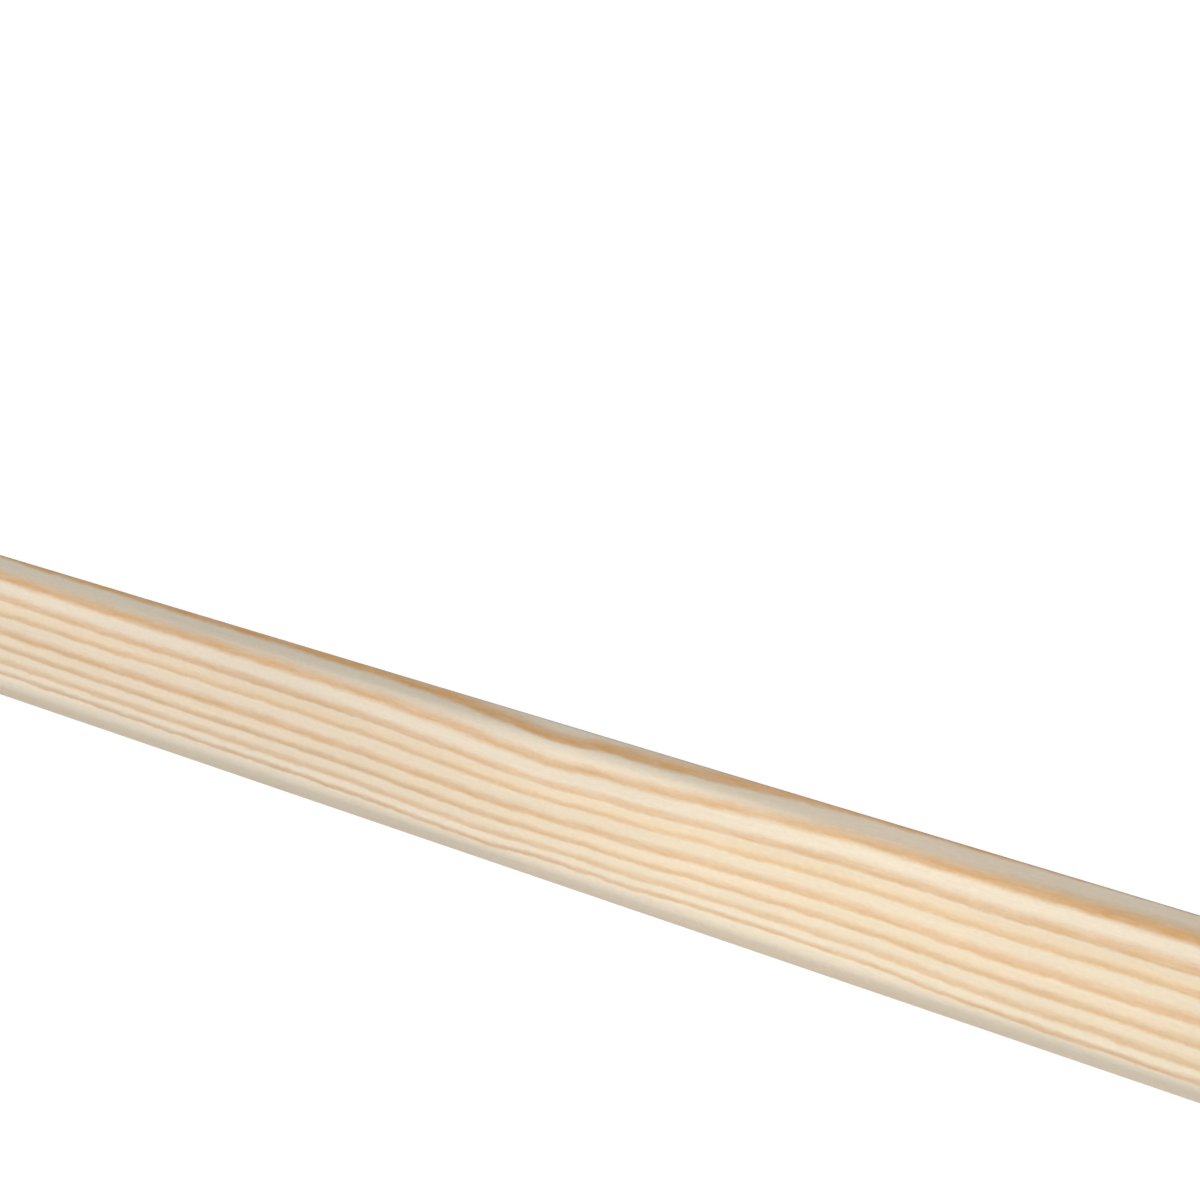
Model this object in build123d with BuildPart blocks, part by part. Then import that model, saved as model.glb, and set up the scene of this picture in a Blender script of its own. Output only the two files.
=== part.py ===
from build123d import *
from math import radians, tan
import os

# Cover strip: one planed length of pine that hides a joint. It is flat behind, and both front edges are
# softly bevelled. Millimetres. The strip lies on its back, with X along the grain, Y across the strip
# and Z out of the show face. The origin is the middle of the back face.

# The stock, as it is sold
length = 900
width = 30
thickness = 4

# Flat side that the moulding cutter leaves between the back and the bevel
side_height = 0.5

# Each bevel takes the rest of the thickness and falls away from the show face at this angle, in degrees
bevel_angle = 45
bevel_height = thickness - side_height
bevel_width = bevel_height / tan(radians(bevel_angle))

# The cutter eases the bevel into the show face with a wide round, and into the side with a small one
brow_radius = 4.5
foot_radius = 0.5

# The strip is run through the moulder in one pass, so it is one section along its whole length,
# and it is cut off square at both ends.
with BuildPart() as cover_strip:
    with BuildSketch(Plane.YZ.offset(-length / 2)) as section:
        # Half of the outline, from the middle of the back to the middle of the show face
        with BuildLine() as half_outline:
            back = Line((0, 0), (width / 2, 0))
            FilletPolyline(
                back @ 1,
                (width / 2, side_height),
                (width / 2 - bevel_width, thickness),
                (0, thickness),
                radius=[foot_radius, brow_radius],
            )
            mirror(about=Plane.YZ)
        make_face()
    extrude(amount=length)

cover_strip.part.label = "cover_strip"

os.makedirs("parts", exist_ok=True)
export_step(cover_strip.part, "parts/cover_strip.step")

print(f"section {section.sketch.area:.1f} mm2, volume {cover_strip.part.volume:.0f} mm3")
print(f"size {cover_strip.part.bounding_box().size}")
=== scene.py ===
# %% [markdown]
# # A pine cover strip
# A cover strip is the thin moulding that hides the joint between two boards or panels. It is planed from
# one length of softwood: a flat back, a flat show face, and a soft bevel along each front edge.
# The solid model already holds its size and section. This lesson gives it the finish of bare planed pine,
# sets it on a pale floor, and looks at it from where the photograph was taken.

# %% Load the measured strip
import math

import bmesh
import bpy
from mathutils import Matrix, Vector


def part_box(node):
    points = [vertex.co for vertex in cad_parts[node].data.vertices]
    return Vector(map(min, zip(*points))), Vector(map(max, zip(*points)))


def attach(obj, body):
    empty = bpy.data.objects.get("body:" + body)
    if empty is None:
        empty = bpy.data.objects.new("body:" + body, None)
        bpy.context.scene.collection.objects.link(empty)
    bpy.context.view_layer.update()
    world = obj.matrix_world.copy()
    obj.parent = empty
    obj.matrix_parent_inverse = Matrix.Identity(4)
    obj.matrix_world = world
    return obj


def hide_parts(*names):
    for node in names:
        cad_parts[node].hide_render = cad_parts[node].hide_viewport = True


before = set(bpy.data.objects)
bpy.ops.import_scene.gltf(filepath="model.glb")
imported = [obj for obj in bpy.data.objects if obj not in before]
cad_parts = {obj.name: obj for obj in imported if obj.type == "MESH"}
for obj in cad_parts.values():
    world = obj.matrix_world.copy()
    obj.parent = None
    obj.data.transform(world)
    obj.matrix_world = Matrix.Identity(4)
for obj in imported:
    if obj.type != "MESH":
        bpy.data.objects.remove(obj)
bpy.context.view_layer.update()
strip_low, strip_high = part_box("cover_strip")
length, width, thickness = strip_high - strip_low
mm = 0.001
print("strip in mm:", round(length / mm, 2), round(width / mm, 2), round(thickness / mm, 2))

# %% [markdown]
# ## The camera
# The strip's two long outlines run together far to the left of the picture. The point where they meet is
# the direction of its length as the camera sees it, so this one point fixes how the camera is turned.
# The direction across the strip comes out square to it and upright in the picture. The pixel of the middle
# of the show face and its distance then place the camera. Guessing angles by eye would take many tries.

# %% Stand where the photograph was taken
picture_width = 1200
lens = 140
sensor_width = 36
focal_pixels = picture_width * lens / sensor_width
far_point = (-3438, -478)
face_pixel = (600, 822.5)
face_distance = 0.866


def sight_line(pixel):
    """The direction of a pixel on the camera's own axes: right, up and back."""
    right = pixel[0] - picture_width / 2
    up = picture_width / 2 - pixel[1]
    return Vector((right, up, -focal_pixels)).normalized()


length_axis = -sight_line(far_point)
width_axis = (Vector((0, 1, 0)) - length_axis * length_axis.y).normalized()
face_axis = length_axis.cross(width_axis)
turn = Matrix((length_axis, width_axis, face_axis))
face_middle = Vector((0, 0, strip_high.z))

camera_data = bpy.data.cameras.new("camera")
camera_data.lens = lens
camera_data.sensor_width = sensor_width
camera = bpy.data.objects.new("camera", camera_data)
camera_place = face_middle - turn @ sight_line(face_pixel) * face_distance
camera.matrix_world = Matrix.Translation(camera_place) @ turn.to_4x4()
bpy.context.scene.collection.objects.link(camera)
bpy.context.scene.camera = camera
bpy.context.scene.view_settings.view_transform = "Standard"
print("camera in mm:", [round(value / mm) for value in camera_place])

# %% [markdown]
# ## Helpers for shader nodes
# Every finish below is a small network of nodes. Written out in full, each node takes four or five lines,
# so a few helpers add a node, join what it reads, and give back its output. Colours are written as a
# screen shows them, from 0 to 255, and turned into the linear values that shaders work with.

# %% Colours and joins


def linear(red, green, blue):
    """A screen colour, 0 to 255, as the linear colour that a shader reads."""
    def channel(value):
        share = value / 255
        return share / 12.92 if share <= 0.04045 else ((share + 0.055) / 1.055) ** 2.4
    return (channel(red), channel(green), channel(blue), 1.0)


def feed(tree, socket, value):
    """Joins a socket to an output, or sets it to a plain value."""
    if isinstance(value, bpy.types.NodeSocket):
        tree.links.new(value, socket)
    else:
        socket.default_value = value


print("a middle grey on the screen is", round(linear(128, 128, 128)[0], 3), "to a shader")

# %% Nodes for numbers and vectors


def add_math(tree, operation, *values):
    """A Math node, which gives a number."""
    node = tree.nodes.new("ShaderNodeMath")
    node.operation = operation
    for socket, value in zip(node.inputs, values):
        feed(tree, socket, value)
    return node.outputs["Value"]


def add_vector(tree, operation, *values):
    """A Vector Math node, which gives a vector."""
    node = tree.nodes.new("ShaderNodeVectorMath")
    node.operation = operation
    for socket, value in zip(node.inputs, values):
        feed(tree, socket, value)
    return node.outputs["Vector"]


def add_point(tree, x, y, z):
    """A vector put together from three numbers."""
    node = tree.nodes.new("ShaderNodeCombineXYZ")
    for socket, value in zip(node.inputs, (x, y, z)):
        feed(tree, socket, value)
    return node.outputs["Vector"]


def split_point(tree, vector):
    """The three numbers of a vector."""
    node = tree.nodes.new("ShaderNodeSeparateXYZ")
    tree.links.new(vector, node.inputs[0])
    return node.outputs["X"], node.outputs["Y"], node.outputs["Z"]


# %% Nodes for noise, ranges and curves
noise_low = 0.3
noise_high = 0.7


def add_noise(tree, position, size, detail=2.0, roughness=0.5):
    """A noise from 0 to 1 whose bumps are as long as size says along X, Y and Z."""
    node = tree.nodes.new("ShaderNodeTexNoise")
    node.inputs["Scale"].default_value = 1.0
    node.inputs["Detail"].default_value = detail
    node.inputs["Roughness"].default_value = roughness
    tree.links.new(add_vector(tree, "DIVIDE", position, size), node.inputs["Vector"])
    return node.outputs["Fac"]


def add_range(tree, value, low, high, to_low=0.0, to_high=1.0, smooth=False):
    """Maps a value from one range to another and holds it at the ends."""
    node = tree.nodes.new("ShaderNodeMapRange")
    node.interpolation_type = "SMOOTHSTEP" if smooth else "LINEAR"
    for socket, number in zip(node.inputs, (value, low, high, to_low, to_high)):
        feed(tree, socket, number)
    return node.outputs["Result"]


def add_swing(tree, noise, swing):
    """A share that swings to both sides of one, as a noise swings between its usual low and high."""
    return add_range(tree, noise, noise_low, noise_high, 1.0 - swing, 1.0 + swing)


def add_curve(tree, value, points, straight=False):
    """A Float Curve through points, whose places and values all lie from 0 to 1."""
    node = tree.nodes.new("ShaderNodeFloatCurve")
    curve = node.mapping.curves[0]
    while len(curve.points) < len(points):
        curve.points.new(0.5, 0.5)
    for point, place in zip(curve.points, points):
        point.location = place
        point.handle_type = "VECTOR" if straight else "AUTO"
    node.mapping.update()
    tree.links.new(value, node.inputs["Value"])
    return node.outputs["Value"]


# %% Nodes for colours, and empty groups


def add_mix(tree, share, first, second):
    """A colour between two colours."""
    node = tree.nodes.new("ShaderNodeMix")
    node.data_type = "RGBA"
    feed(tree, node.inputs[0], share)
    feed(tree, node.inputs[6], first)
    feed(tree, node.inputs[7], second)
    return node.outputs[2]


def add_light(tree, colour, light, *more_light):
    """A colour made lighter or darker by one share or several."""
    for share in more_light:
        light = add_math(tree, "MULTIPLY", light, share)
    return add_vector(tree, "MULTIPLY", colour, add_point(tree, light, light, light))


def new_group(name, inputs, outputs):
    """An empty shader node group with named sockets, and its input and output nodes."""
    tree = bpy.data.node_groups.new(name, "ShaderNodeTree")
    for title, kind, start in inputs:
        socket = tree.interface.new_socket(title, in_out="INPUT", socket_type="NodeSocket" + kind)
        if start is not None:
            socket.default_value = start
    for title, kind in outputs:
        tree.interface.new_socket(title, in_out="OUTPUT", socket_type="NodeSocket" + kind)
    return tree, tree.nodes.new("NodeGroupInput").outputs, tree.nodes.new("NodeGroupOutput").inputs


# %% [markdown]
# ## How the strip was cut from the tree
# Growth lines are not a print on the surface. They are thin shells round the pith, one for each year, and
# a plane cuts through them, so the same shells show as lines on the face and as arcs on the sawn ends.
# The pattern is therefore built in the round: the distance from the pith, less a small wander along the
# grain, tells how far out each point grew. A picture wrapped round the strip would break at every edge.

# %% The pith and the years
pith_across = 75
pith_height = -29

# From the pith outwards: the year's growth in mm, the share of it that is dark late wood, how dark it is,
# how pale the early wood is, how brown the late wood is, and the share of the year over which it ends
years = (
    (4.9, 0.30, 0.60, 0.3, 0.3, 0.10),
    (5.45, 0.55, 0.90, 0.9, 0.0, 0.20),
    (5.05, 0.46, 0.80, 0.7, 0.0, 0.22),
    (3.75, 0.44, 0.67, 0.7, 0.1, 0.17),
    (2.6, 0.42, 0.45, 0.0, 0.7, 0.17),
    (3.8, 0.43, 0.65, 0.4, 0.3, 0.16),
    (2.75, 0.43, 0.57, 0.2, 0.8, 0.17),
    (2.8, 0.46, 0.50, 0.4, 0.6, 0.18),
    (2.0, 0.46, 0.63, 0.6, 1.0, 0.18),
    (4.4, 0.36, 0.12, 0.7, 0.5, 0.10),
    (2.6, 0.30, 0.30, 0.8, 0.5, 0.10),
    (2.4, 0.30, 0.50, 0.6, 0.5, 0.10),
)
year_total = len(years)
first_growth = 57.75
last_growth = first_growth + sum(year[0] for year in years)
print(year_total, "years, from", first_growth, "to", round(last_growth, 1), "mm from the pith")

# %% How the grain wanders
# Along the strip in mm, and how far the lines lie outside their usual place there, in mm
wander_reach = 4
wander_near_pith = (
    (-450, -1.4), (-340, -0.4), (-260, -0.6), (-195, -0.1), (-150, 0.25), (-107, 0.45), (-77, 0.65),
    (-62, 1.0), (-48, 1.5), (-33, 2.4), (-22, 3.1), (-15, 3.4), (-8, 2.8), (-2, 2.45), (10, 2.25),
    (25, 1.65), (39, 0.95), (54, 0.3), (75, -0.2), (98, -0.3), (145, -0.95), (210, -0.6), (290, 0.6),
    (370, 0.1), (450, -0.7),
)
wander_near_bark = (
    (-450, -0.6), (-330, 0.4), (-250, -0.3), (-195, 0.05), (-150, 0.4), (-107, 0.5), (-77, 0.7),
    (-48, 1.3), (-33, 1.4), (-18, 0.9), (10, 0.85), (25, 0.4), (60, 0.25), (84, 0.7), (98, 1.15),
    (145, 1.5), (220, 0.8), (300, 1.6), (380, 0.9), (450, 1.3),
)

# The distances from the pith, in mm, at which each of the two tables holds alone
near_pith = 69
near_bark = 91
print("places along the strip:", len(wander_near_pith), "and", len(wander_near_bark))

# %% How the late wood thickens along the strip
# Along the strip in mm, and how much of the usual late wood the years near the pith have there
late_least = 0.8
late_most = 1.3
late_along = (
    (-450, 1.0), (-300, 1.1), (-203, 1.02), (-120, 0.99), (-60, 0.93), (32, 0.93), (62, 0.99),
    (91, 1.04), (121, 1.09), (150, 1.14), (210, 1.05), (300, 0.95), (450, 1.05),
)
print("late wood near the pith, at most:", max(value for place, value in late_along), "of the usual")

# %% A node for a table of places along the strip


def along_curve(tree, along_share, table, low, high):
    """A value between two limits that changes along the strip, from a table of places in mm and values."""
    start, end = table[0][0], table[-1][0]
    points = [((place - start) / (end - start), (value - low) / (high - low)) for place, value in table]
    bent = add_curve(tree, along_share, points)
    return add_range(tree, bent, 0.0, 1.0, low, high)


# %% [markdown]
# ## Growth lines
# A year starts with pale, soft early wood and darkens towards its end. Then the growth stops, so the
# outer side of each dark line is sharp and its inner side fades. One group finds, for any point, which
# year it lies in and how far through that year it is. Both the planed faces and the sawn ends use it.

# %% Distance from the pith
rings, given, result = new_group(
    "growth lines",
    inputs=(("Position mm", "Vector", None), ("Fuzz mm", "Float", 0.35)),
    outputs=(
        ("Grain", "Vector"), ("Late wood", "Float"), ("Through the year", "Float"), ("Pale", "Float"),
        ("Brown", "Float"),
    ),
)
x, y, z = split_point(rings, given["Position mm"])
from_pith_y = add_math(rings, "SUBTRACT", y, pith_across)
from_pith_z = add_math(rings, "SUBTRACT", z, pith_height)
across_squared = add_math(rings, "POWER", from_pith_y, 2.0)
height_squared = add_math(rings, "POWER", from_pith_z, 2.0)
out = add_math(rings, "SQRT", add_math(rings, "ADD", across_squared, height_squared))
face_out = math.hypot(pith_across, thickness / mm - pith_height)
print("the middle of the show face lies", round(face_out, 1), "mm from the pith")

# %% Bend the lines
along_share = add_range(rings, x, wander_near_pith[0][0], wander_near_pith[-1][0])
outer_share = add_range(rings, out, near_pith, near_bark)
inner_wander = along_curve(rings, along_share, wander_near_pith, -wander_reach, wander_reach)
outer_wander = along_curve(rings, along_share, wander_near_bark, -wander_reach, wander_reach)
wander_gap = add_math(rings, "SUBTRACT", outer_wander, inner_wander)
line_shift = add_math(rings, "MULTIPLY_ADD", wander_gap, outer_share, inner_wander)

# Waves of two centimetres, ripples of half a centimetre, and the fuzz of single fibres along each line:
# the size of the bumps in mm, their detail, and how far they move a line in mm
unevenness = (
    ((22, 6, 6), 2.0, 0.4),
    ((6, 1.5, 1.5), 1.0, 0.5),
    ((1.6, 0.7, 0.7), 3.0, given["Fuzz mm"]),
)
for size, detail, reach in unevenness:
    waves = add_math(rings, "SUBTRACT", add_noise(rings, given["Position mm"], size, detail), 0.5)
    line_shift = add_math(rings, "MULTIPLY_ADD", waves, reach, line_shift)
growth = add_math(rings, "SUBTRACT", out, line_shift)
print("kinds of unevenness:", len(unevenness))

# %% Count the years
# The count goes along a curve, because the years differ in width
edge = first_growth
year_points = [(0.0, 0.0)]
for number, year in enumerate(years, start=1):
    edge += year[0]
    year_points.append(((edge - first_growth) / (last_growth - first_growth), number / year_total))
growth_share = add_range(rings, growth, first_growth, last_growth)
counted = add_curve(rings, growth_share, year_points, straight=True)
year_count = add_math(rings, "MULTIPLY", counted, float(year_total))
year_number = add_math(rings, "FLOOR", year_count)
through = add_math(rings, "SUBTRACT", year_count, year_number)
print("points on the counting curve:", len(year_points))

# %% Look up what each year is like
middle_of_year = add_math(rings, "ADD", year_number, 0.5)
middle_share = add_math(rings, "DIVIDE", middle_of_year, float(year_total))


def by_year(first_column):
    """Three numbers of each year, handed out by a ramp with one flat stop for each year."""
    ramp = rings.nodes.new("ShaderNodeValToRGB")
    ramp.color_ramp.interpolation = "CONSTANT"
    while len(ramp.color_ramp.elements) < year_total:
        ramp.color_ramp.elements.new(0.5)
    for number, year in enumerate(years):
        stop = ramp.color_ramp.elements[number]
        stop.position = number / year_total
        stop.color = (*year[first_column:first_column + 3], 1.0)
    rings.links.new(middle_share, ramp.inputs[0])
    return split_point(rings, ramp.outputs["Color"])


# A ramp hands out three of the five numbers, so the two ramps overlap in one
late_share, darkness = by_year(1)[:2]
paleness, brownness, fade = by_year(3)

near_pith_share = add_math(rings, "SUBTRACT", 1.0, outer_share)
late_amount = along_curve(rings, along_share, late_along, late_least, late_most)
extra_late = add_math(rings, "SUBTRACT", late_amount, 1.0)
more_late = add_math(rings, "MULTIPLY_ADD", extra_late, near_pith_share, 1.0)
late_share = add_math(rings, "MULTIPLY", late_share, more_late)
darkness = add_math(rings, "MULTIPLY", darkness, more_late)
print("numbers looked up for each year:", len(years[0]) - 1)

# %% Place the late wood in the year
# It sets in one and a half of its shares before the year's end, and is full half a share before it
sets_in = 1.5
is_full = 0.5
late_start = add_math(rings, "MULTIPLY_ADD", late_share, -sets_in, 1.0)
late_full = add_math(rings, "MULTIPLY_ADD", late_share, -is_full, 1.0)
rise = add_range(rings, through, late_start, late_full, smooth=True)
fade_start = add_math(rings, "SUBTRACT", 1.0, fade)
stop_growing = add_range(rings, through, fade_start, 1.0, 1.0, 0.0, smooth=True)
late_wood = add_math(rings, "MULTIPLY", add_math(rings, "MULTIPLY", rise, stop_growing), darkness)

# It is a little patchy along each line
patch_size = (12, 1.2, 2)
patch_swing = 0.3
patches = add_noise(rings, given["Position mm"], patch_size, 5.0, 0.75)
late_wood = add_math(rings, "MULTIPLY", late_wood, add_swing(rings, patches, patch_swing))
print("the late wood varies by", round(patch_swing * 100), "percent along a line")

# %% Give the results out
# The way round the pith is counted in mm at a middling distance from it
middling_radius = 80.0
around = add_math(rings, "ARCTAN2", from_pith_z, from_pith_y)
arc = add_math(rings, "MULTIPLY", around, middling_radius)
rings.links.new(add_point(rings, x, growth, arc), result["Grain"])
rings.links.new(late_wood, result["Late wood"])
rings.links.new(through, result["Through the year"])
rings.links.new(paleness, result["Pale"])
rings.links.new(brownness, result["Brown"])
print("growth line group:", len(rings.nodes), "nodes")

# %% [markdown]
# ## Fibres
# Between the growth lines the wood is a bundle of fibres a few hundredths of a millimetre thick and
# several millimetres long. They give the face its silky streaks. A noise stretched along the grain does
# the same. It reads the grain's own position, so that the streaks follow the lines round each bend.

# %% The fibre group
fibres, given, result = new_group(
    "fibres",
    inputs=(("Grain", "Vector", None), ("Late wood", "Float", 0.0)),
    outputs=(("Streaks", "Float"), ("Clouds", "Float"), ("Flecks", "Float"), ("Canals", "Float")),
)

# The length of each kind of mark in mm: along the grain, out from the pith, and round it
fine_size = (4.0, 0.22, 0.3)
broad_size = (30.0, 0.9, 1.5)
cloud_size = (70.0, 5.0, 9.0)
fleck_size = (1.5, 0.6, 0.8)
fine_share = 0.6

fine = add_noise(fibres, given["Grain"], fine_size, 3.0, 0.65)
broad = add_noise(fibres, given["Grain"], broad_size, 2.0)
broad_part = add_math(fibres, "MULTIPLY", broad, 1 - fine_share)
streaks = add_math(fibres, "MULTIPLY_ADD", fine, fine_share, broad_part)
clouds = add_noise(fibres, given["Grain"], cloud_size, 3.0, 0.55)
flecks = add_noise(fibres, given["Grain"], fleck_size, 2.0, 0.6)
print("fibre group so far:", len(fibres.nodes), "nodes")

# %% Resin canals
# They are short dark ticks. Only the peaks of a noise show, and only in the late wood.
canal_size = (4.5, 0.3, 0.3)
specks = add_noise(fibres, given["Grain"], canal_size, 1.0)
peaks = add_range(fibres, specks, 0.73, 0.80)
in_late_wood = add_range(fibres, given["Late wood"], 0.05, 0.4)
canals = add_math(fibres, "MULTIPLY", peaks, in_late_wood)

fibres.links.new(streaks, result["Streaks"])
fibres.links.new(clouds, result["Clouds"])
fibres.links.new(flecks, result["Flecks"])
fibres.links.new(canals, result["Canals"])
print("fibre group:", len(fibres.nodes), "nodes")

# %% [markdown]
# ## Planed pine
# The moulding cutter leaves the long faces smooth. Early wood is cream, late wood a warm tan, and both
# shift a little along the strip, partly as painted light that is brighter and warmer towards the right
# end. The bevels carry painted shade. The denser late wood is slightly shinier and stands a hair proud.
# The cutter's knives leave ripples across the strip, a millimetre or so apart and only microns deep.

# %% Helpers that start and finish a material


def start_material(name):
    """A material with its node tree, its Principled shader and the position on the piece in mm."""
    material = bpy.data.materials.new(name)
    material.use_nodes = True
    tree = material.node_tree
    shader = tree.nodes["Principled BSDF"]
    place = tree.nodes.new("ShaderNodeTexCoord").outputs["Object"]
    position = add_vector(tree, "DIVIDE", place, (mm, mm, mm))
    return material, tree, shader, position


def use_group(tree, group, **inputs):
    """Places a node group in a material and feeds its inputs."""
    node = tree.nodes.new("ShaderNodeGroup")
    node.node_tree = group
    for name, value in inputs.items():
        feed(tree, node.inputs[name.replace("_", " ")], value)
    return node.outputs


def add_relief(tree, shader, height):
    """Tilts the shading of a surface as if it had a height in mm."""
    bump = tree.nodes.new("ShaderNodeBump")
    bump.inputs["Distance"].default_value = mm
    feed(tree, bump.inputs["Height"], height)
    feed(tree, shader.inputs["Normal"], bump.outputs["Normal"])


# %% Start the planed pine
early_pale = linear(240, 229, 209)
early_deep = linear(241, 217, 181)
late_tan = linear(214, 167, 109)
late_peach = linear(220, 172, 120)
late_brown = linear(192, 155, 114)
late_gold = linear(226, 170, 97)
canal_colour = linear(160, 112, 70)

planed_pine, tree, shader, position = start_material("planed pine")
lines = use_group(tree, rings, Position_mm=position)
fibre = use_group(tree, fibres, Grain=lines["Grain"], Late_wood=lines["Late wood"])
x, y = split_point(tree, position)[:2]
print("pale early wood:", [round(value, 2) for value in early_pale[:3]])

# %% Planed pine: tone and painted light along the strip
# The colour turns from a cooler, duller tone to a warm bright one and back. It is partly the wood's own
# tone and partly painted light: the brighter, warmer stretch towards the right end stands in for more
# light and sheen on the face there. Places in mm, and the share of the bright tone there. A tone or tint
# multiplies the colour, so it is written in plain shares.
tone_and_light_along = (
    (-450, 0.5), (-340, 0.35), (-240, 0.1), (-173, 0.03), (-114, 0.0), (-56, 0.22), (3, 0.68), (62, 1.0),
    (121, 0.82), (220, 0.6), (320, 0.8), (450, 0.5),
)
dull_tone_and_light = (0.875, 0.868, 0.89, 1.0)
bright_tone_and_light = (1.02, 1.015, 1.01, 1.0)
along_share = add_range(tree, x, tone_and_light_along[0][0], tone_and_light_along[-1][0])
tone = along_curve(tree, along_share, tone_and_light_along, 0.0, 1.0)
tone_and_light_tint = add_mix(tree, tone, dull_tone_and_light, bright_tone_and_light)
print("places with a tone of their own:", len(tone_and_light_along))

# %% Planed pine: painted shade on the bevels
# Painted shade on the bevels: they are made a little darker and greyer, most where the tone along the
# strip is bright, and their late wood is more golden. Off the middle line, the painted shade and the
# golden late wood start at the first distance in mm and are full at the second.
change_starts = 10.0
change_ends = 13.0
no_tint = (1.0, 1.0, 1.0, 1.0)
dull_bevel_shade = (0.935, 0.955, 0.97, 1.0)
bright_bevel_shade = (0.89, 0.89, 0.915, 1.0)
from_middle = add_math(tree, "ABSOLUTE", y)
edge_share = add_range(tree, from_middle, change_starts, change_ends, smooth=True)
painted_bevel_shade = add_mix(tree, edge_share, no_tint, add_mix(tree, tone, dull_bevel_shade, bright_bevel_shade))
print("the finish changes from", change_starts, "to", change_ends, "mm off the middle line")

# %% Planed pine: colours through the year
# The early wood starts partly deep in colour and gets deeper, less so in the pale years
deep_at_first = 0.55
deepest_at = 0.75
early_share = add_range(tree, lines["Through the year"], 0.0, deepest_at, deep_at_first, 1.0, smooth=True)
deep_years = add_range(tree, lines["Pale"], 0.0, 1.0, 1.0, 0.0)
early = add_mix(tree, add_math(tree, "MULTIPLY", early_share, deep_years), early_pale, early_deep)

# The late wood is browner and a little darker where the tone is dull, and a little paler where the tone
# and its painted light are bright
bright_brown = 0.4
bright_late = 0.91
warm = add_mix(tree, add_range(tree, fibre["Clouds"], 0.4, 0.6), late_tan, late_peach)
brown_here = add_range(tree, tone, 0.0, 1.0, 1.0, bright_brown)
brown_share = add_math(tree, "MULTIPLY", lines["Brown"], brown_here)
face_late = add_mix(tree, brown_share, warm, late_brown)
late = add_mix(tree, edge_share, face_late, late_gold)
late_here = add_range(tree, tone, 0.0, 1.0, 1.0, bright_late)
late_depth = add_math(tree, "MULTIPLY", lines["Late wood"], late_here)
wood = add_mix(tree, late_depth, early, late)
print("late wood where the tone is brightest:", bright_late, "of the usual")

# %% Planed pine: streaks, flecks and canals
streak_swing = 0.04
cloud_swing = 0.03
fleck_swing = 0.025
canal_strength = 0.12
streak_light = add_swing(tree, fibre["Streaks"], streak_swing)
cloud_light = add_swing(tree, fibre["Clouds"], cloud_swing)
fleck_light = add_swing(tree, fibre["Flecks"], fleck_swing)
streaked = add_light(tree, wood, streak_light, cloud_light, fleck_light)
# The tone tint is partly painted light along the strip
toned = add_vector(tree, "MULTIPLY", streaked, tone_and_light_tint)
# The bevel tint is painted shade on the bevels
toned = add_vector(tree, "MULTIPLY", toned, painted_bevel_shade)
canals = add_math(tree, "MULTIPLY", fibre["Canals"], canal_strength)
feed(tree, shader.inputs["Base Color"], add_mix(tree, canals, toned, canal_colour))
print("planed pine so far:", len(tree.nodes), "nodes")

# %% Planed pine: shine and relief
early_roughness = 0.60
late_roughness = 0.50
roughness = add_range(tree, lines["Late wood"], 0.0, 1.0, early_roughness, late_roughness)
feed(tree, shader.inputs["Roughness"], roughness)
shader.inputs["Specular IOR Level"].default_value = 0.25

# All heights are in mm
knife_pitch = 1.4
ripple_height = 0.0008
streak_height = 0.020
late_height = 0.006
ripple = add_math(tree, "SINE", add_math(tree, "MULTIPLY", x, math.tau / knife_pitch))
ripples = add_math(tree, "MULTIPLY", ripple, ripple_height)
height = add_math(tree, "MULTIPLY_ADD", fibre["Streaks"], streak_height, ripples)
height = add_math(tree, "MULTIPLY_ADD", lines["Late wood"], late_height, height)
add_relief(tree, shader, height)
print("planed pine:", len(tree.nodes), "nodes")

# %% [markdown]
# ## Sawn end grain
# The ends are cut across the fibres, so they show the years as arcs. Open pores soak up light and make
# them darker, duller and browner than the faces, and the saw leaves faint scratches. Fine rays run out
# from the pith across the arcs. The same growth line group gives the arcs, so they meet the lines.

# %% End grain: arcs, rays, pores and scratches
end_early = linear(214, 178, 130)
end_late = linear(158, 106, 62)
end_fuzz = 0.05

# Sizes in mm: the rays along the grain, out from the pith and round it, the rest along X, Y and Z
ray_size = (50.0, 3.0, 0.12)
pore_size = (0.5, 0.09, 0.09)
scratch_size = (1.0, 6.0, 0.16)

sawn_pine, tree, shader, position = start_material("sawn pine")
lines = use_group(tree, rings, Position_mm=position, Fuzz_mm=end_fuzz)
wood = add_mix(tree, lines["Late wood"], end_early, end_late)
rays = add_noise(tree, lines["Grain"], ray_size, 2.0)
pores = add_noise(tree, position, pore_size, 2.0, 0.6)
scratches = add_noise(tree, position, scratch_size, 2.0)
print("sawn pine so far:", len(tree.nodes), "nodes")

# %% End grain: colour, shine and relief
ray_light = add_range(tree, rays, 0.35, 0.65, 0.94, 1.05)
pore_light = add_range(tree, pores, noise_low, noise_high, 0.88, 1.08)
feed(tree, shader.inputs["Base Color"], add_light(tree, wood, ray_light, pore_light))
feed(tree, shader.inputs["Roughness"], add_range(tree, pores, noise_low, noise_high, 0.82, 0.70))

# Both heights are in mm
scratch_height = 0.05
pore_height = 0.03
pits = add_math(tree, "MULTIPLY", pores, pore_height)
add_relief(tree, shader, add_math(tree, "MULTIPLY_ADD", scratches, scratch_height, pits))
print("sawn pine:", len(tree.nodes), "nodes")

# %% [markdown]
# ## The strip
# The moulder cuts the section from a square blank, and the mesh is made in the same order: a block of the
# strip's size, then a bevel on both front edges, then a wide round at the brow of each bevel and a small
# one at its foot, and last the hair-thin worn arrises at the back and at the ends. Edges are picked by
# their place and by their direction, so that a cut along the strip leaves the ends alone.

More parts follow.
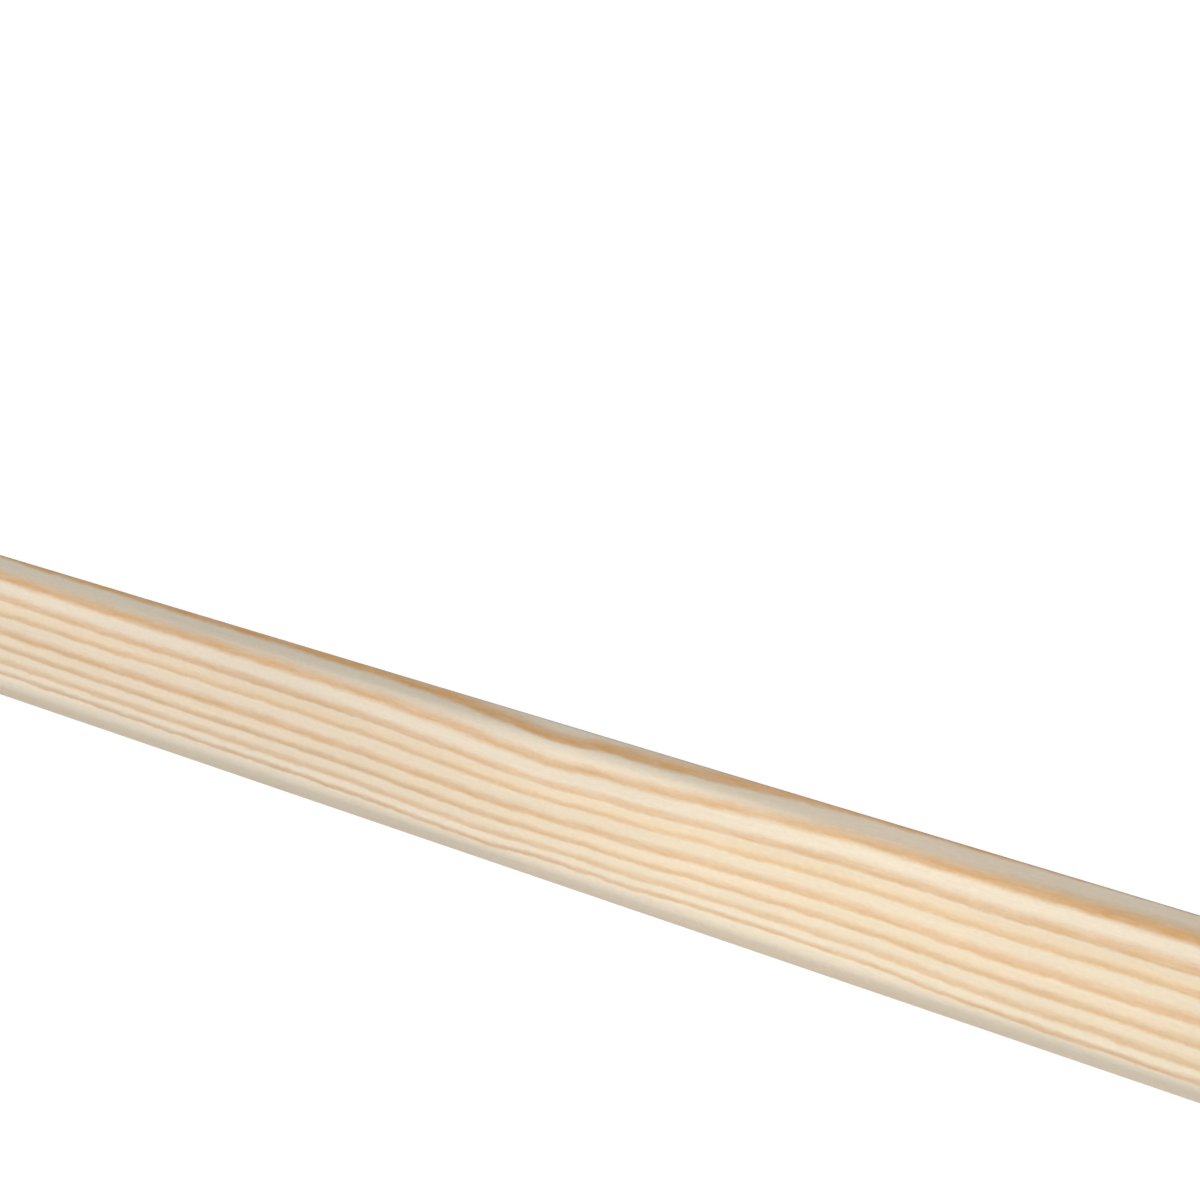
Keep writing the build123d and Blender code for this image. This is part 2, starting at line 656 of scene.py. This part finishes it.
# %% The blank
bpy.ops.object.select_all(action="DESELECT")
bpy.ops.mesh.primitive_cube_add(
    size=1, location=(strip_low + strip_high) / 2, scale=(length, width, thickness)
)
strip = bpy.context.object
strip.name = "planed_strip"
bpy.ops.object.transform_apply(location=True, rotation=True, scale=True)
print("blank in mm:", [round(side / mm, 2) for side in strip.dimensions])

# %% Helpers that pick edges and cut them
near = 0.01 * mm


def long_edge(one, other):
    """A test for the edges that run the whole length."""
    return abs(one.x - other.x) > length / 2


def runs_at(across, up):
    """A test for the long edges at one place in the section, on both sides."""
    def wanted(one, other):
        return long_edge(one, other) and abs(abs(one.y) - across) < near and abs(one.z - up) < near
    return wanted


def select_edges(piece, wanted):
    """Selects the edges of a piece in edit mode that pass a test on their two ends, and counts them."""
    mesh = bmesh.from_edit_mesh(piece.data)
    bpy.ops.mesh.select_all(action="DESELECT")
    chosen = [edge for edge in mesh.edges if wanted(edge.verts[0].co, edge.verts[1].co)]
    for edge in chosen:
        edge.select_set(True)
    bmesh.update_edit_mesh(piece.data)
    return len(chosen)


def bevel_edges(piece, wanted, reach, steps, profile=0.5):
    """Bevels the edges that pass a test, and counts them."""
    count = select_edges(piece, wanted)
    bpy.ops.mesh.bevel(offset=reach, segments=steps, profile=profile, affect="EDGES")
    return count


def round_edges(piece, wanted, radius, turn, steps):
    """Rounds edges at which the surface turns by an angle, with the profile nearest to a true arc."""
    inner = math.cos(turn / 2)
    profile = ((1 + inner / (1 + inner)) / 2) ** 2
    return bevel_edges(piece, wanted, radius * math.tan(turn / 2), steps, profile)


# %% The section
side_height = 0.5 * mm
brow_radius = 4.5 * mm
foot_radius = 0.5 * mm
bevel_height = thickness - side_height
bevel_turn = math.radians(45)
brow_steps = 12
foot_steps = 4

bpy.ops.object.mode_set(mode="EDIT")
bpy.ops.mesh.select_mode(type="EDGE")
fronts = bevel_edges(strip, runs_at(width / 2, thickness), bevel_height, steps=1)
brow = runs_at(width / 2 - bevel_height, thickness)
brows = round_edges(strip, brow, brow_radius, bevel_turn, brow_steps)
foot = runs_at(width / 2, side_height)
feet = round_edges(strip, foot, foot_radius, bevel_turn, foot_steps)
print("edges cut:", fronts, "fronts,", brows, "brows,", feet, "feet")

# %% The worn arrises
back_arris = 0.15 * mm
end_arris = 0.08 * mm


def on_end_outline(one, other):
    """A test for the edges round the two sawn ends."""
    return abs(one.x - other.x) < near and abs(abs(one.x) - length / 2) < near


back_edges = bevel_edges(strip, runs_at(width / 2, 0), back_arris, steps=3)
end_edges = bevel_edges(strip, on_end_outline, end_arris, steps=2)
print("arrises:", back_edges, "back edges,", end_edges, "end edges")

# %% Divide the length
# The flat map below cuts the strip into three between these faces, so their number is a multiple of three
length_steps = 90
select_edges(strip, long_edge)
bpy.ops.mesh.subdivide(number_cuts=length_steps - 1)
bpy.ops.object.mode_set(mode="OBJECT")
print("faces in all:", len(strip.data.polygons))

# %% [markdown]
# ## Finish on the faces
# The saw made the two ends and the knives made everything else, so which finish a face gets depends on the
# way it points. The rounds are shaded smooth, and the edges of the ends stay crisp. The piece then takes
# the place of the plain solid and rides on its body.

# %% Give the long faces and the ends their finish
end_facing = 0.9
smooth_up_to = math.radians(35)
strip.data.materials.append(planed_pine)
strip.data.materials.append(sawn_pine)
for face in strip.data.polygons:
    face.material_index = 1 if abs(face.normal.x) > end_facing else 0
bpy.ops.object.shade_smooth_by_angle(angle=smooth_up_to)
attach(strip, "root")
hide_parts("cover_strip")
print("end faces:", sum(face.material_index for face in strip.data.polygons))

# %% [markdown]
# ## A flat map of the strip
# An export bakes the finish into square pictures, and they need a map that lays every face out flat. Laid
# out in one row, 900 mm of grain would get a pixel for each 3 or 4 mm and lose its ripples. So the map
# cuts the strip into three lengths, one above another, with the show side large, the back smaller, and
# the two ends side by side on top.

# %% Share the map out
map_name = "OFBake"
map_margin = 0.008
lengths = 3

# Which faces a band holds, how many bands of the kind there are, and their height as a share of the map
band_plan = (("front", lengths, 0.2), ("back", lengths, 0.097), ("ends", 1, 0.035))
bands = {}
band_start = map_margin
for kind, copies, band_height in band_plan:
    for number in range(copies):
        bands[kind, number] = (band_start, band_height)
        band_start += band_height + map_margin
print("bands:", len(bands), "and they fill", round(band_start, 3), "of the map")

# %% Lay the faces out on it
# The show side is unrolled: what lies lower on its edges also lies further out on the map
edge_stretch = 0.6
half_unrolled = width / 2 + edge_stretch * thickness
back_facing = -0.3


def map_place(face, corner):
    """The place on the map of a corner of a face."""
    share_across = corner.y / width + 0.5
    number = min(int((face.center.x / length + 0.5) * lengths), lengths - 1)
    share_along = (corner.x / length + 0.5) * lengths - number
    if face.material_index == 1:
        start, band_height = bands["ends", 0]
        end_number = 1 if face.center.x > 0 else 0
        share_along = (share_across + end_number) / 2
        share_across = corner.z / thickness
    elif face.normal.z < back_facing:
        start, band_height = bands["back", number]
    else:
        start, band_height = bands["front", number]
        unrolled = corner.y + math.copysign(edge_stretch * (thickness - corner.z), corner.y)
        share_across = unrolled / half_unrolled / 2 + 0.5
    return map_margin + share_along * (1 - 2 * map_margin), start + share_across * band_height


bake_map = strip.data.uv_layers.new(name=map_name)
for face in strip.data.polygons:
    for loop in face.loop_indices:
        corner = strip.data.vertices[strip.data.loops[loop].vertex_index].co
        bake_map.data[loop].uv = map_place(face, corner)
print("corners laid out:", len(bake_map.data))

# %% [markdown]
# ## Floor, lamps and sky
# A product picture of a thin strip wants an even pale ground and soft light from above, so that the bevels
# show by their shade. Painted shade in the wood's colour darkens them further, and painted light brightens
# the right part of the show face. The floor takes real shadows, and glows for the camera just enough to
# look white where nothing shades it. The lamps and the sky together give a level surface about the light
# of one, so each colour shows about as it is written.

# %% The floor
# The floor gives back its own shade of the light of one, and a glow adds the rest up to its brightness. It
# lies a hair under the back of the strip, so that the two don't share a plane.
floor_size = 12
floor_shade = 0.2
floor_brightness = 1.04
floor_gap = 0.05 * mm


def seen_directly(tree):
    """One for a ray from the camera or one seen in gloss or glass, and nothing for light that spreads."""
    path = tree.nodes.new("ShaderNodeLightPath")
    shiny = add_math(tree, "MAXIMUM", path.outputs["Is Glossy Ray"], path.outputs["Is Transmission Ray"])
    return add_math(tree, "MAXIMUM", path.outputs["Is Camera Ray"], shiny)


bpy.ops.object.select_all(action="DESELECT")
bpy.ops.mesh.primitive_plane_add(size=floor_size, location=(0, 0, strip_low.z - floor_gap))
bpy.ops.object.transform_apply(location=True, rotation=True, scale=True)
floor = bpy.context.object
floor.name = "floor"
print("floor:", floor_size, "m wide")

# %% Paint the floor
floor_paint = bpy.data.materials.new("floor paint")
floor_paint.use_nodes = True
tree = floor_paint.node_tree
tree.nodes.clear()
matt = tree.nodes.new("ShaderNodeBsdfDiffuse")
matt.inputs["Color"].default_value = (floor_shade, floor_shade, floor_shade, 1)
glow = tree.nodes.new("ShaderNodeEmission")
glow_level = add_math(tree, "MULTIPLY", seen_directly(tree), floor_brightness - floor_shade)
feed(tree, glow.inputs["Strength"], glow_level)
both = tree.nodes.new("ShaderNodeAddShader")
feed(tree, both.inputs[0], matt.outputs[0])
feed(tree, both.inputs[1], glow.outputs[0])
feed(tree, tree.nodes.new("ShaderNodeOutputMaterial").inputs["Surface"], both.outputs[0])
floor.data.materials.append(floor_paint)
print("floor paint:", len(tree.nodes), "nodes")

# %% The lamps
# The sky and the lamps together give the level show face a light of one. An end lamp gives it less than
# its own share, because it stands low: for each step outwards it is only this much of a step up.
sky_share = 0.06
end_share = 0.35
end_lamp_rise = 0.6
end_share_from_above = end_share * end_lamp_rise / math.hypot(1, end_lamp_rise)
key_share = 1 - sky_share - 2 * end_share_from_above
key_direction = (0.15, -0.02, 1.0)
lamp_spread = math.radians(55)
lamp_colour = (1.0, 0.985, 0.95)


def add_lamp(name, share, come_from):
    """A wide soft sun lamp that gives a share of the light and comes from a direction."""
    lamp_data = bpy.data.lights.new(name, "SUN")
    lamp_data.energy = share * math.pi
    lamp_data.angle = lamp_spread
    lamp_data.color = lamp_colour
    lamp = bpy.data.objects.new(name, lamp_data)
    lamp.rotation_mode = "QUATERNION"
    lamp.rotation_quaternion = Vector(come_from).to_track_quat("Z", "Y")
    bpy.context.scene.collection.objects.link(lamp)


add_lamp("key lamp", key_share, key_direction)
add_lamp("left end lamp", end_share, (-1, 0, end_lamp_rise))
add_lamp("right end lamp", end_share, (1, 0, end_lamp_rise))
print("light on the face:", round(key_share, 2), "key,", round(2 * end_share_from_above, 2), "end lamps")

# %% The sky
sky_colour = (0.97, 1.0, 1.03, 1)
world = bpy.data.worlds.new("studio")
world.use_nodes = True
bpy.context.scene.world = world
tree = world.node_tree
tree.nodes.clear()
sky = tree.nodes.new("ShaderNodeBackground")
sky.inputs["Color"].default_value = sky_colour
sky.inputs["Strength"].default_value = sky_share
white = tree.nodes.new("ShaderNodeBackground")
white.inputs["Color"].default_value = (1, 1, 1, 1)
mix = tree.nodes.new("ShaderNodeMixShader")
feed(tree, mix.inputs[0], seen_directly(tree))
feed(tree, mix.inputs[1], sky.outputs[0])
feed(tree, mix.inputs[2], white.outputs[0])
feed(tree, tree.nodes.new("ShaderNodeOutputWorld").inputs["Surface"], mix.outputs[0])
print("sky:", len(tree.nodes), "nodes")
